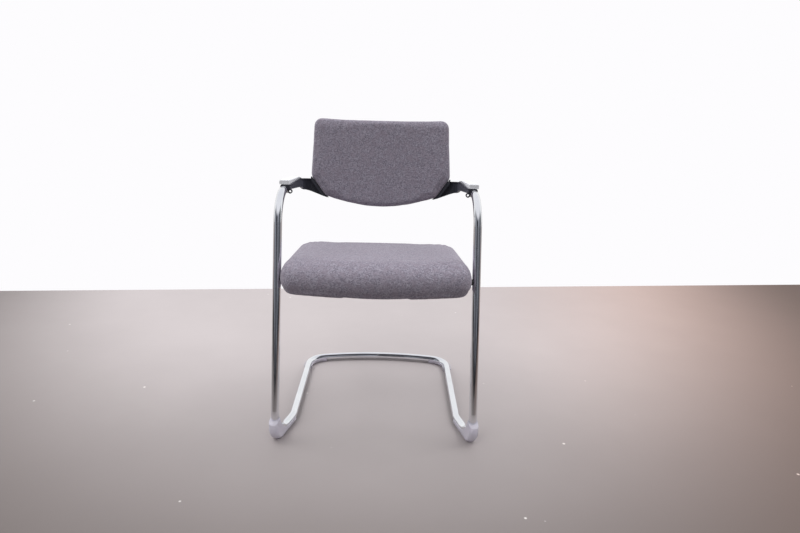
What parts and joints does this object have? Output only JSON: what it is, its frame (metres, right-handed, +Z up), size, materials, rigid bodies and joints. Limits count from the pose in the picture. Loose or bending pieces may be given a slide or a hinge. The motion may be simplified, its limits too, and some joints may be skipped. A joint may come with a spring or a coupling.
{
  "type": "cantilever chair",
  "caption": "Visitor chair on a bent chromed tube cantilever frame, with an upholstered seat and back, moulded arms with light pads, and clear floor glides.",
  "frame": {"origin": "centre of the footprint on the floor, under the middle of the chair", "axes": "+Z up; +Y towards the back of the chair, so a sitter faces -Y; +X to the right of someone who looks along +Y"},
  "size_m": [0.5598, 0.5586, 0.8238],
  "materials": {
    "chrome": "bright chromium plate",
    "plain_steel": "zinc plated",
    "black_steel": "satin black powder coat",
    "clear_plastic": "clear, moulded, slightly scuffed sole",
    "black_plastic": "fine moulded grain, satin",
    "light_plastic": "very light grey, satin",
    "board": "raw pressed plywood",
    "brass": "as turned",
    "upholstery": "grey wool mixture cloth with a faint mauve cast"
  },
  "bodies": {
    "root": {"arm_left": "black_plastic", "arm_pad_left": "light_plastic", "arm_pad_right": "light_plastic", "arm_pad_screws": "plain_steel", "arm_right": "black_plastic", "back_board": "board", "back_cushion": "upholstery", "back_inserts": "brass", "back_shell": "black_plastic", "back_shell_screws": "plain_steel", "crossbar_joint_sleeve": "plain_steel", "crossbar_weld": "chrome", "frame_tube_left": "chrome", "frame_tube_right": "chrome", "front_glide_left": "clear_plastic", "front_glide_right": "clear_plastic", "rear_glide_left": "clear_plastic", "rear_glide_right": "clear_plastic", "seat_bar": "black_steel", "seat_cushion": "upholstery", "seat_inserts": "brass", "seat_lock_screws": "plain_steel", "seat_pan": "black_plastic", "seat_rail_left": "black_steel", "seat_rail_right": "black_steel", "seat_rear_bar": "black_steel", "seat_screws": "plain_steel", "seat_under_cover": "black_plastic", "tube_plug_left": "black_plastic", "tube_plug_right": "black_plastic", "under_cover_screws": "plain_steel", "wing_screws": "plain_steel"}
  },
  "joints": []
}
